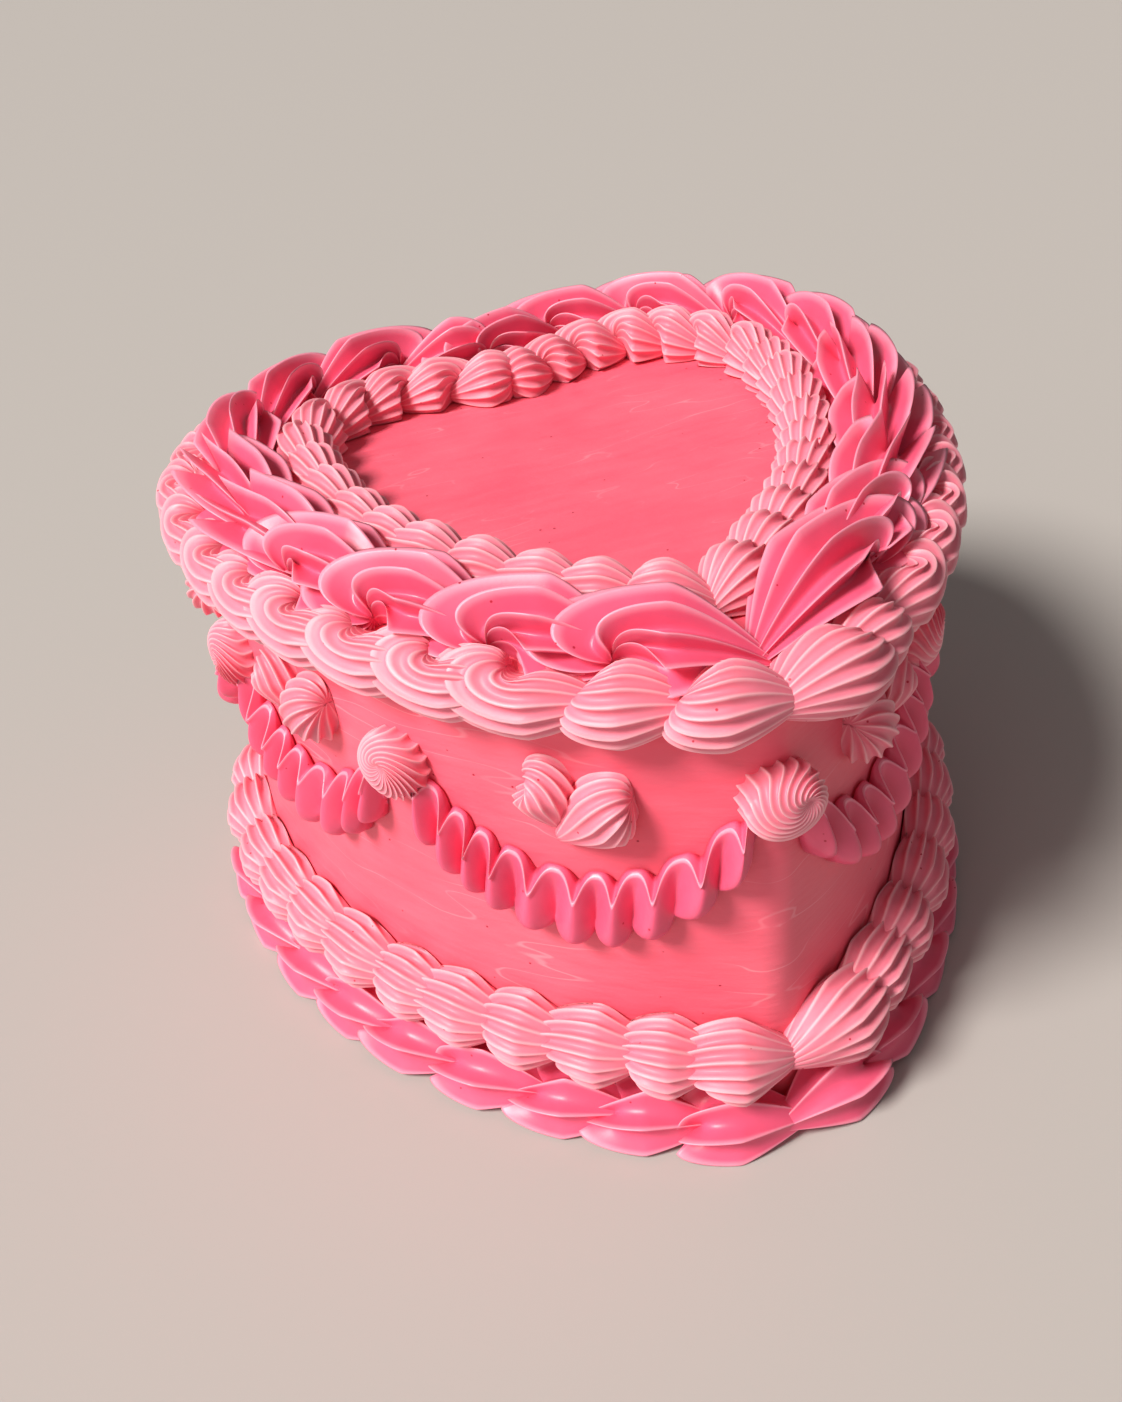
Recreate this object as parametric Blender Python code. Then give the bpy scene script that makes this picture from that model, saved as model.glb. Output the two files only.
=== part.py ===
"""Heart shaped layer cake in pink buttercream, piped all round.

Units are metres and +Z is up. The cake stands on the plane z = 0. The heart's
point looks towards -Y and its cleft towards +Y, and x = 0 is its middle line.

Everything is placed in heart coordinates: the way along the outline, the offset
outwards from the smooth wall, and the height. The outline is a chain of arcs, so
an offset only changes their radii. A border is a row of piped shells that starts
at the cleft and runs down both sides to the point, heads towards the cleft and
tails towards the point, each shell lying on the tail of the one before.
"""
import math

import bmesh
import bpy
import numpy as np

# Driving dimensions of the cake, in metres.
LOBE_RADIUS = 0.0675      # round half of the heart
LOBE_CENTRE = 0.0325      # from the middle line to a lobe's centre
SIDE_RADIUS = 0.1635      # the long side bows out this gently
TIP_RADIUS = 0.013        # the spatula leaves the point round
TIP_REACH = 0.1415        # from the lobes' centre line to the point
CLEFT_RADIUS = 0.010      # icing fills the notch this much
CAKE_HEIGHT = 0.136       # foot of the wall to the smoothed top
TAPER = 0.0030            # the wall leans in this much by the top
TOP_EDGE = 0.004          # soft edge between wall and top
MIDDLE = 0.0356           # shifts the heart along Y, to centre the finished cake on the origin
GAP = 0.0003              # between two pieces that touch
TIP_GAP = 0.0005          # more of it round the tight bend at the point

# Where neighbouring borders meet.
BASE_SEAM = 0.0142                  # height: ruffles below, shells above
OUTER_SEAM = (0.0006, 0.50)         # offset at the top of the cake, and its lean
INNER_SEAM = (-0.0186, -0.20)

# Side decoration: rosettes with a swag between each two and a small heart over its middle.
RIGHT_ROSETTES = (0.0, 0.250, 0.500, 0.750, 1.0)     # shares of the way from cleft to tip
LEFT_ROSETTES = (0.0, 0.240, 0.475, 0.705, 1.0)
ROSETTE_RADIUS = 0.0100
ROSETTE_DEPTH = 0.0100
ROSETTE_HEIGHT = 0.1022
TIP_ROSETTE_HEIGHT = 0.1065
SWAG_END = 0.0970
SWAG_MIDDLE = 0.0768
FRONT_SWAG_MIDDLE = 0.0727          # the last swag of the left side hangs lowest
SWAG_TALL = 0.0208
SWAG_PROUD = 0.0052
SWAG_WAVE = 0.0034
SWAG_FOLD = 0.0085                  # along the wall
SWAG_START = 0.0042                 # from a rosette's centre to the first fold
SMALL_SHELL = 0.0072                # radius of one half of a small heart
SMALL_HEART_RISE = 0.0312           # above the swag's middle

HOT_PINK = (0.905, 0.135, 0.235)
SOFT_PINK = (0.955, 0.330, 0.395)

CLEFT, LOBE, SIDE, TIP, END = range(5)

# Rows of piped shells. The section is a ridged arc about a middle (offset, height)
# from a first to a last angle in degrees, 0 outwards and 90 up. A beat is a section
# along one shell: its place as a share of the shell, its girth, its swing round the
# middle in degrees and how far the middle moves out and up.
BASE_RUFFLE = dict(
    offset=0.0065, height=0.0078, across=0.0118, up=0.0084, first=112, last=-78,
    ridges=4, groove=0.27, count=15,
    beats=((0.02, 0.66, 0, 0, 0), (0.20, 0.97, 8, 0.0006, 0), (0.58, 1.00, -4, 0.0004, 0)))
BASE_SHELL = dict(
    offset=0.0036, height=0.0262, across=0.0120, up=0.0124, first=112, last=-92,
    ridges=5, groove=0.15, count=20,
    beats=((0.03, 0.64, 0, 0, -0.0020), (0.22, 0.96, 5, 0.0004, 0), (0.62, 1.00, -4, 0, 0)))
TOP_SHELL = dict(
    offset=0.0018, height=CAKE_HEIGHT + 0.0022, across=0.0110, up=0.0114, first=128, last=-104,
    ridges=5, groove=0.15, count=19,
    beats=((0.03, 0.68, 0, 0, 0), (0.20, 0.95, 16, 0, 0.0008), (0.60, 1.02, -6, 0.0003, -0.0003)))
TOP_RUFFLE = dict(
    offset=-0.0080, height=CAKE_HEIGHT + 0.0055, across=0.0134, up=0.0132, first=-36, last=216,
    ridges=5, groove=0.30, count=13,
    beats=((0.03, 0.66, -6, 0.0010, -0.0030), (0.14, 0.98, -16, 0.0008, 0),
           (0.42, 1.03, 4, -0.0004, 0), (0.74, 0.86, 8, 0, -0.0012)))
INNER_SHELL = dict(
    offset=-0.0264, height=CAKE_HEIGHT + 0.0036, across=0.0088, up=0.0096, first=-24, last=204,
    ridges=4, groove=0.18, count=16,
    beats=((0.03, 0.66, 0, 0, -0.0016), (0.22, 0.96, 6, 0, 0), (0.62, 1.00, -4, 0, 0)))


def clear_scene():
    """Empty the file of objects."""
    for item in list(bpy.data.objects):
        bpy.data.objects.remove(item, do_unlink=True)


def new_collection(name):
    """Collection linked to the scene."""
    collection = bpy.data.collections.new(name)
    bpy.context.scene.collection.children.link(collection)
    return collection


def icing(name, colour, roughness):
    """Plain buttercream finish."""
    material = bpy.data.materials.new(name)
    material.use_nodes = True
    shader = material.node_tree.nodes["Principled BSDF"]
    shader.inputs["Base Color"].default_value = (*colour, 1.0)
    shader.inputs["Roughness"].default_value = roughness
    shader.inputs["Metallic"].default_value = 0.0
    return material


def wobble(index, channel):
    """Repeatable unevenness of hand piping, from -1 to 1."""
    return math.sin(37.7 * index + 11.3 * channel + 0.6 * index * channel)


def lean(height):
    """Offset of the tapering wall at a height; the same all above the top."""
    return -TAPER * np.minimum(height, CAKE_HEIGHT) / CAKE_HEIGHT


def heading(vector):
    """Angle of a flat vector."""
    return math.atan2(vector[1], vector[0])


def arc_centres():
    """Centres of the cleft, lobe, side and tip arcs of the right half."""
    lobe = np.array([LOBE_CENTRE, 0.0])
    tip = np.array([0.0, TIP_RADIUS - TIP_REACH])
    lobe_reach = SIDE_RADIUS - LOBE_RADIUS
    tip_reach = SIDE_RADIUS - TIP_RADIUS
    between = tip - lobe
    distance = math.hypot(*between)
    along = (distance ** 2 + lobe_reach ** 2 - tip_reach ** 2) / (2 * distance)
    across = math.sqrt(lobe_reach ** 2 - along ** 2)
    unit = between / distance
    side = lobe + unit * along + np.array([unit[1], -unit[0]]) * across
    cleft = np.array([0.0, math.sqrt((LOBE_RADIUS + CLEFT_RADIUS) ** 2 - LOBE_CENTRE ** 2)])
    return cleft, lobe, side, tip


def heart_point(offset, share):
    """Points of the right half of the heart, for arrays of offset and share.

    The share runs 0 to 1 over the cleft arc, 1 to 2 over the lobe, 2 to 3 over the
    side and 3 to 4 over the tip. A cleft or tip arc whose radius would pass zero
    closes to a point on the middle line, where its neighbour then ends.
    """
    offset, share = np.broadcast_arrays(np.asarray(offset, float), np.asarray(share, float))
    cleft, lobe, side, tip = arc_centres()
    lobe_radius = LOBE_RADIUS + offset
    side_radius = SIDE_RADIUS + offset
    open_cleft = offset < CLEFT_RADIUS
    open_tip = offset > -TIP_RADIUS
    lobe_start = np.where(open_cleft, heading(cleft - lobe),
                          np.arccos(np.clip(-LOBE_CENTRE / lobe_radius, -1.0, 1.0)))
    side_start = heading(lobe - side)
    side_end = np.where(open_tip, heading(tip - side),
                        -np.arccos(np.clip(-side[0] / side_radius, -1.0, 1.0)))
    spans = (
        (cleft, CLEFT_RADIUS - offset, -math.pi / 2, heading(lobe - cleft)),
        (lobe, lobe_radius, lobe_start, side_start),
        (side, side_radius, side_start, side_end),
        (tip, TIP_RADIUS + offset, side_end, -math.pi / 2),
    )
    which = np.clip(share.astype(int), CLEFT, TIP)
    which = np.where(~open_cleft & (which == CLEFT), LOBE, which)
    which = np.where(~open_tip & (which == TIP), SIDE, which)
    points = np.zeros(offset.shape + (2,))
    for number, (centre, radius, start, end) in enumerate(spans):
        part = np.clip(share - number, 0.0, 1.0)
        angle = start + (end - start) * part
        spot = centre + np.asarray(radius)[..., None] * np.stack([np.cos(angle), np.sin(angle)], -1)
        points = np.where((which == number)[..., None], spot, points)
    return points


class Path:
    """Way along one half of the heart at an even offset from the wall."""

    def __init__(self, offset):
        self.offset = offset
        self.shares = np.linspace(CLEFT, END, 1601)
        points = heart_point(offset, self.shares)
        steps = np.hypot(*np.diff(points, axis=0).T)
        self.lengths = np.r_[0.0, np.cumsum(steps)]
        self.length = self.lengths[-1]

    def share(self, distance):
        """Share at a distance from the cleft."""
        return float(np.interp(distance, self.lengths, self.shares))

    def frame(self, distance, side):
        """Point, direction towards the heart's tip and outward direction; side is 1 or -1."""
        reach = 0.002
        first = heart_point(self.offset, self.share(max(distance - reach, 0.0)))
        last = heart_point(self.offset, self.share(min(distance + reach, self.length)))
        if distance <= reach:
            forward = np.array([1.0, 0.0])
        elif distance >= self.length - reach:
            forward = np.array([-1.0, 0.0])
        else:
            forward = (last - first) / math.hypot(*(last - first))
        outward = np.array([-forward[1], forward[0]])
        mirror = np.array([side, 1.0])
        point = heart_point(self.offset, self.share(distance))
        return point * mirror, forward * mirror, outward * mirror


def add_solid(name, verts, faces, material, collection):
    """Object from one closed mesh, its faces turned outwards and shifted to the origin."""
    mesh = bpy.data.meshes.new(name)
    mesh.from_pydata([(float(x), float(y) + MIDDLE, float(z)) for x, y, z in verts], [], faces)
    bm = bmesh.new()
    bm.from_mesh(mesh)
    bmesh.ops.remove_doubles(bm, verts=bm.verts, dist=2e-6)
    bmesh.ops.dissolve_degenerate(bm, edges=bm.edges, dist=2e-6)
    bmesh.ops.triangulate(bm, faces=bm.faces)
    bmesh.ops.recalc_face_normals(bm, faces=bm.faces)
    bm.to_mesh(mesh)
    bm.free()
    if material is not None:
        mesh.materials.append(material)
    item = bpy.data.objects.new(name, mesh)
    collection.objects.link(item)
    return item


def skin(rings, ends):
    """Faces over rings of equal length; ends is 'flat', 'points' or 'round'.

    'flat' caps both ends, 'points' closes each to its own extra vertex, and
    'round' joins the last ring to the first.
    """
    count = len(rings[0])
    verts = [tuple(point) for ring in rings for point in ring]
    levels = len(rings)
    faces = []
    for level in range(levels if ends == "round" else levels - 1):
        above = (level + 1) % levels
        for index in range(count):
            following = (index + 1) % count
            faces.append((level * count + index, level * count + following,
                          above * count + following, above * count + index))
    last = (levels - 1) * count
    if ends == "flat":
        faces.append(tuple(range(count))[::-1])
        faces.append(tuple(last + index for index in range(count)))
    if ends == "points":
        start, end = len(verts), len(verts) + 1
        for index in range(count):
            following = (index + 1) % count
            faces.append((following, index, start))
            faces.append((last + index, last + following, end))
    return verts, faces


def heart_prism(name, levels, material, collection):
    """Solid through whole outlines, given as (offset, height) from the bottom up."""
    shares = np.r_[np.linspace(CLEFT, LOBE, 3), np.linspace(LOBE, SIDE, 15)[1:],
                   np.linspace(SIDE, TIP, 7)[1:], np.linspace(TIP, END, 5)[1:]]
    rings = []
    for offset, height in levels:
        right = heart_point(offset + lean(height), shares)
        left = right[1:-1][::-1] * [-1.0, 1.0]
        rings.append([(x, y, height) for x, y in np.vstack([right, left])])
    verts, faces = skin(rings, "flat")
    return add_solid(name, verts, faces, material, collection)


def seam(which, height):
    """Offset of a slanting seam between two top borders at a height."""
    foot, lean = which
    return foot + lean * (height - CAKE_HEIGHT)


def section(row, beat, number, wall_gap):
    """Offsets and heights of one section of a row, in order round it."""
    girth, swing, out, rise = beat[1:]
    points = 2 * row["ridges"] - 1
    angle = np.radians(np.linspace(row["first"], row["last"], points) + swing)
    star = np.where(np.arange(points) % 2, 1.0 - row["groove"], 1.0)
    girth *= 1.0 + 0.035 * wobble(number, 1)
    offset = row["offset"] + out + row["across"] * girth * star * np.cos(angle)
    height = row["height"] + rise + 0.0005 * wobble(number, 2) + row["up"] * girth * star * np.sin(angle)
    return offset, height


def base_ruffle_ring(row, beat, number, wall_gap):
    """Rests on the surface the cake stands on, under the shells."""
    offset, height = section(row, beat, number, wall_gap)
    height = height - row["height"] * (1.0 - beat[1])
    offset = np.maximum(offset, wall_gap)
    height = np.clip(height, 0.0, BASE_SEAM - GAP)
    offset[0] = wall_gap
    height[-1] = 0.0
    return np.r_[offset, wall_gap], np.r_[height, 0.0]


def base_shell_ring(row, beat, number, wall_gap):
    """Lies on the ruffles and against the wall."""
    offset, height = section(row, beat, number, wall_gap)
    offset = np.maximum(offset, wall_gap)
    height = np.maximum(height, BASE_SEAM)
    offset[0] = wall_gap
    return np.r_[offset, wall_gap], np.r_[height, height[-1]]


def top_shell_ring(row, beat, number, wall_gap):
    """Hangs over the top edge; its inner side is under the top ruffles."""
    offset, height = section(row, beat, number, wall_gap)
    floor = CAKE_HEIGHT + GAP
    limit = np.where(height > floor, seam(OUTER_SEAM, height) + GAP, wall_gap)
    offset = np.maximum(offset, limit)
    offset[-1] = wall_gap
    foot = seam(OUTER_SEAM, floor) + GAP
    return np.r_[offset, wall_gap, foot], np.r_[height, floor, floor]


def top_ruffle_ring(row, beat, number, wall_gap):
    """Stands on the top between the two rows of shells."""
    offset, height = section(row, beat, number, wall_gap)
    floor = CAKE_HEIGHT + GAP
    height = np.maximum(height, floor)
    offset = np.clip(offset, seam(INNER_SEAM, height) + GAP, seam(OUTER_SEAM, height) - GAP)
    height[0] = floor
    height[-1] = floor
    offset[0] = min(offset[0], seam(OUTER_SEAM, floor) - GAP)
    offset[-1] = max(offset[-1], seam(INNER_SEAM, floor) + GAP)
    return offset, height


def inner_shell_ring(row, beat, number, wall_gap):
    """Lies on the top, inside the ruffles."""
    offset, height = section(row, beat, number, wall_gap)
    floor = CAKE_HEIGHT + GAP
    height = np.maximum(height, floor)
    offset = np.minimum(offset, seam(INNER_SEAM, height) - GAP)
    height[0] = floor
    height[-1] = floor
    return offset, height


def border(name, row, ring, material, collection):
    """One closed solid: the shells of a row, down one side and back up the other."""
    path = Path(row["offset"] + lean(row["height"]))
    spacing = path.length / row["count"]
    beats = row["beats"]
    tail = beats[0]

    def placed(distance, beat, number, side):
        """One section, put in its place on the cake."""
        nearness = max(0.0, 1.0 - (path.length - distance) / 0.030)
        offset, height = ring(row, beat, number, GAP + TIP_GAP * nearness)
        flat = heart_point(offset + lean(height), path.share(distance)) * [side, 1.0]
        return np.column_stack([flat, height])

    halves = {}
    for side in (1, -1):
        rings = []
        for index in range(row["count"]):
            number = index if side > 0 else index + 40
            for position, beat in enumerate(beats):
                shift = 0.05 * wobble(number, 3) if position or index else 0.0
                distance = (index + beat[0] + shift) * spacing
                rings.append(placed(max(distance, 0.0015), beat, number, side))
        halves[side] = rings
    point = placed(path.length, tail, 0, 1)
    start = placed(0.0, tail, 0, 1)
    rings = [start] + halves[1] + [point] + halves[-1][::-1]
    verts, faces = skin(rings, "round")
    return add_solid(name, verts, faces, material, collection)


def swag(name, ends, heights, lowest, side, material, collection):
    """Ruffled ribbon on the wall, hung between two rosettes."""
    path = Path(lean(ROSETTE_HEIGHT))
    start, end = ends[0] + SWAG_START, ends[1] - SWAG_START
    folds = round((end - start) / SWAG_FOLD)
    stations = 3 * folds + 1
    rings = []
    for index in range(stations):
        share = index / (stations - 1)
        distance = start + (end - start) * share
        hang = (1.0 - (2.0 * share - 1.0) ** 2) ** 0.85
        lift = heights[0] + (heights[1] - heights[0]) * share - ROSETTE_HEIGHT
        middle = SWAG_END + lift * (1.0 - hang) + (lowest - SWAG_END) * hang
        turn = 2 * math.pi * folds * share + 0.5
        top = middle + SWAG_TALL / 2 + 0.0010 * math.sin(turn)
        bottom = middle - SWAG_TALL / 2 - 0.0022 * math.sin(turn - 1.1)
        for centre, level in zip(ends, heights):
            away = abs(distance - centre)
            reach = ROSETTE_RADIUS + 3 * GAP
            if away < reach:
                top = min(top, level - math.sqrt(reach ** 2 - away ** 2))
        upper = SWAG_PROUD + SWAG_WAVE * math.sin(turn)
        lower = SWAG_PROUD + SWAG_WAVE * math.sin(turn - 1.1)
        offset = np.array([GAP, GAP, upper, lower])
        height = np.array([bottom, top, top - 0.0008, bottom + 0.0016])
        flat = heart_point(offset + lean(height), path.share(distance)) * [side, 1.0]
        rings.append(np.column_stack([flat, height]))
    verts, faces = skin(rings, "flat")
    return add_solid(name, verts, faces, material, collection)


def on_wall(verts, distance, side, height):
    """Put a form given as (along, up, out) on the wall, square to it."""
    point, forward, outward = Path(lean(ROSETTE_HEIGHT)).frame(distance, side)
    verts = np.array(verts)
    flat = point + np.outer(verts[:, 0], forward) + np.outer(verts[:, 2], outward)
    return np.column_stack([flat, verts[:, 1] + height])


def cut_by_wall(item, wall):
    """Trim the back of a piece to the wall it is piped on."""
    modifier = item.modifiers.new("trim", "BOOLEAN")
    modifier.operation = "DIFFERENCE"
    modifier.solver = "EXACT"
    modifier.object = wall
    depsgraph = bpy.context.evaluated_depsgraph_get()
    item.data = bpy.data.meshes.new_from_object(item.evaluated_get(depsgraph))
    item.modifiers.clear()


def rosette(name, distance, side, height, material, collection, wall):
    """Round swirl whose ridges turn as they rise to a small peak."""
    count = 12
    rings = []
    for share, depth, turn in ((1.0, -0.0040, 0.0), (1.0, 0.0034, 0.15), (0.74, 0.0080, 0.75)):
        angle = 2 * np.pi * np.arange(count) / count + turn
        reach = ROSETTE_RADIUS * share * np.where(np.arange(count) % 2, 0.84, 1.0)
        rings.append(np.column_stack([reach * np.cos(angle), reach * np.sin(angle), np.full(count, depth)]))
    verts, faces = skin(rings, "points")
    verts = verts + [(0.0, 0.0, -0.0040), (0.0, 0.0, ROSETTE_DEPTH)]
    item = add_solid(name, on_wall(verts, distance, side, height), faces, material, collection)
    cut_by_wall(item, wall)
    return item


def small_shell(name, distance, side, height, heading_down, size, length, material, collection, wall):
    """Half of a small heart: a ridged shell whose tail points the given way down the wall."""
    count = 10
    turn = math.radians(heading_down)
    along = np.array([math.cos(turn), math.sin(turn), 0.0])
    across = np.array([-math.sin(turn), math.cos(turn), 0.0])
    out = np.array([0.0, 0.0, 1.0])
    angle = 2 * np.pi * (np.arange(count) + 0.5) / count
    star = np.where(np.arange(count) % 2, 0.84, 1.0)
    rings = []
    for travel, girth in ((-0.0040, 0.80), (0.0015, 1.0), (0.0085, 0.55)):
        reach = SMALL_SHELL * size * girth * star
        ring = along * travel * length + np.outer(reach * np.cos(angle), across) + np.outer(reach * np.sin(angle), out)
        rings.append(ring)
    verts, faces = skin(rings, "points")
    verts = verts + [tuple(along * -0.0070 * length), tuple(along * 0.0140 * length)]
    verts = np.array(verts) + [0.0, 0.0, 0.0004]
    item = add_solid(name, on_wall(verts, distance, side, height), faces, material, collection)
    cut_by_wall(item, wall)
    return item


def build_cake():
    """Cake body, five borders and the side decoration."""
    clear_scene()
    cake = new_collection("heart_shaped_cake")
    cutters = new_collection("cutters")
    hot = icing("hot_pink_buttercream", HOT_PINK, 0.42)
    soft = icing("soft_pink_buttercream", SOFT_PINK, 0.40)
    smooth = icing("smoothed_buttercream", HOT_PINK, 0.48)

    heart_prism("cake_body", [
        (0.0, 0.0), (0.0, CAKE_HEIGHT - TOP_EDGE),
        (-0.3 * TOP_EDGE, CAKE_HEIGHT - 0.3 * TOP_EDGE), (-TOP_EDGE, CAKE_HEIGHT)], smooth, cake)
    wall = heart_prism("wall_room", [(GAP, 0.050), (GAP, CAKE_HEIGHT)], None, cutters)
    wall.hide_render = True
    wall.display_type = "WIRE"

    border("base_ruffle_border", BASE_RUFFLE, base_ruffle_ring, hot, cake)
    border("base_shell_border", BASE_SHELL, base_shell_ring, soft, cake)
    border("top_shell_border", TOP_SHELL, top_shell_ring, soft, cake)
    border("top_ruffle_border", TOP_RUFFLE, top_ruffle_ring, hot, cake)
    border("inner_shell_border", INNER_SHELL, inner_shell_ring, soft, cake)

    length = Path(lean(ROSETTE_HEIGHT)).length
    places = {1: [share * length for share in RIGHT_ROSETTES],
              -1: [share * length for share in LEFT_ROSETTES]}
    swags = len(RIGHT_ROSETTES) - 1
    heights = [ROSETTE_HEIGHT] * swags + [TIP_ROSETTE_HEIGHT]
    spots = [(index, 1) for index in range(swags + 1)]
    spots += [(index, -1) for index in range(1, swags)]
    for number, (index, side) in enumerate(spots, 1):
        rosette(f"rosette_{number}", places[side][index], side, heights[index], soft, cake, wall)
    number = 0
    for side in (1, -1):
        for index in range(swags):
            number += 1
            ends, levels = places[side][index:index + 2], heights[index:index + 2]
            lowest = FRONT_SWAG_MIDDLE if number == 2 * swags else SWAG_MIDDLE
            swag(f"swag_{number}", ends, levels, lowest, side, hot, cake)
            middle = sum(ends) / 2
            level = lowest + SMALL_HEART_RISE
            small_shell(f"small_heart_{number}a", middle - 0.0065, side, level + 0.0025,
                        -78, 0.90, 0.75, soft, cake, wall)
            small_shell(f"small_heart_{number}b", middle + 0.0082, side, level - 0.0010,
                        -140, 1.02, 1.0, soft, cake, wall)


build_cake()
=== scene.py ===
import math

import bpy
import numpy as np
from mathutils import Matrix, Vector


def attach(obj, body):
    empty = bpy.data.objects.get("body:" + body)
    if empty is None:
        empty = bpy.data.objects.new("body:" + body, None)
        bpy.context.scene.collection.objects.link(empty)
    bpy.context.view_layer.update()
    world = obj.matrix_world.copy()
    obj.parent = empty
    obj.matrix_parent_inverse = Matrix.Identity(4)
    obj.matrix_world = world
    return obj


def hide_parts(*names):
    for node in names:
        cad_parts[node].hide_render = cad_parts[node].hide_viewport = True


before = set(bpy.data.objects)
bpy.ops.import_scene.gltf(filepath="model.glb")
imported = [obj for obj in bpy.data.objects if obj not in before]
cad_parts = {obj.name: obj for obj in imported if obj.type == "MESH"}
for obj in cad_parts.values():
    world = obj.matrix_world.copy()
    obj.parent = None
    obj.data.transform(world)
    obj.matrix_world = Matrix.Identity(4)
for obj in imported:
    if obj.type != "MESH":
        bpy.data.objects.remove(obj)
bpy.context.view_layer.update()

# The cake's own sizes, as in the solids. The heart is drawn about the middle between its
# lobes' centres, which lies MIDDLE behind the middle of the cake's box.
LOBE_RADIUS = 0.0675
LOBE_CENTRE = 0.0325
SIDE_RADIUS = 0.1635
TIP_RADIUS = 0.013
TIP_REACH = 0.1415
CLEFT_RADIUS = 0.010
CAKE_HEIGHT = 0.136
TAPER = 0.0030
TOP_EDGE = 0.004
MIDDLE = 0.0356
# Air between two pieces that touch.
GAP = 0.0003

RIGHT, LEFT = 1, -1


# The heart's outline

def heading(vector):
    """Angle of a flat vector."""
    return math.atan2(vector[1], vector[0])


def arc_centres():
    """Centres of the cleft, lobe, side and tip arcs of the right half.

    The side's centre is as far from the lobe's and from the tip's as their radii differ
    from its own. The cleft's is on x = 0, as far from the lobe's as both radii together.
    """
    lobe = np.array([LOBE_CENTRE, 0.0])
    tip = np.array([0.0, TIP_RADIUS - TIP_REACH])
    to_lobe = SIDE_RADIUS - LOBE_RADIUS
    to_tip = SIDE_RADIUS - TIP_RADIUS
    between = tip - lobe
    distance = math.hypot(*between)
    along = (distance ** 2 + to_lobe ** 2 - to_tip ** 2) / (2 * distance)
    across = math.sqrt(to_lobe ** 2 - along ** 2)
    unit = between / distance
    side = lobe + unit * along + np.array([unit[1], -unit[0]]) * across
    cleft = np.array([0.0, math.sqrt((LOBE_RADIUS + CLEFT_RADIUS) ** 2 - LOBE_CENTRE ** 2)])
    return cleft, lobe, side, tip


def heart_point(offset, share):
    """Points of the right half of the heart for arrays of offset and share.

    The outline is four arcs, cleft, lobe, side and tip, and the share runs 0 to 4 over
    them. An offset adds to the arcs' radii; a cleft or tip arc that closes ends on x = 0.
    """
    offset, share = np.broadcast_arrays(np.asarray(offset, float), np.asarray(share, float))
    cleft, lobe, side, tip = arc_centres()
    lobe_radius = LOBE_RADIUS + offset
    side_radius = SIDE_RADIUS + offset
    open_cleft = offset < CLEFT_RADIUS
    open_tip = offset > -TIP_RADIUS
    lobe_start = np.where(open_cleft, heading(cleft - lobe),
                          np.arccos(np.clip(-LOBE_CENTRE / lobe_radius, -1.0, 1.0)))
    side_start = heading(lobe - side)
    side_end = np.where(open_tip, heading(tip - side),
                        -np.arccos(np.clip(-side[0] / side_radius, -1.0, 1.0)))
    spans = (
        (cleft, CLEFT_RADIUS - offset, -math.pi / 2, heading(lobe - cleft)),
        (lobe, lobe_radius, lobe_start, side_start),
        (side, side_radius, side_start, side_end),
        (tip, TIP_RADIUS + offset, side_end, -math.pi / 2),
    )
    which = np.clip(share.astype(int), 0, 3)
    which = np.where(~open_cleft & (which == 0), 1, which)
    which = np.where(~open_tip & (which == 3), 2, which)
    points = np.zeros(offset.shape + (2,))
    for number, (centre, radius, start, end) in enumerate(spans):
        part = np.clip(share - number, 0.0, 1.0)
        angle = start + (end - start) * part
        spot = centre + np.asarray(radius)[..., None] * np.stack([np.cos(angle), np.sin(angle)], -1)
        points = np.where((which == number)[..., None], spot, points)
    return points


def lean(height):
    """Offset of the tapering wall at a height; the same all above the top."""
    return -TAPER * np.minimum(height, CAKE_HEIGHT) / CAKE_HEIGHT


class Way:
    """Way from cleft to tip along one half of the heart, at an even offset."""

    def __init__(self, offset):
        self.offset = offset
        self.shares = np.linspace(0.0, 4.0, 3201)
        steps = np.hypot(*np.diff(heart_point(offset, self.shares), axis=0).T)
        self.lengths = np.r_[0.0, np.cumsum(steps)]
        self.length = self.lengths[-1]

    def share(self, distance):
        """Shares at an array of distances."""
        return np.interp(distance, self.lengths, self.shares)

    def point(self, distance):
        """Points at an array of distances."""
        return heart_point(self.offset, self.share(distance))

    def frames(self, distance, reach=0.003):
        """Points, directions towards the tip and outward directions."""
        ahead = self.point(np.minimum(distance + reach, self.length))
        behind = self.point(np.maximum(distance - reach, 0.0))
        forward = ahead - behind
        forward /= np.linalg.norm(forward, axis=-1, keepdims=True)
        return self.point(distance), forward, np.stack([-forward[..., 1], forward[..., 0]], -1)


# Meshes

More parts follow.
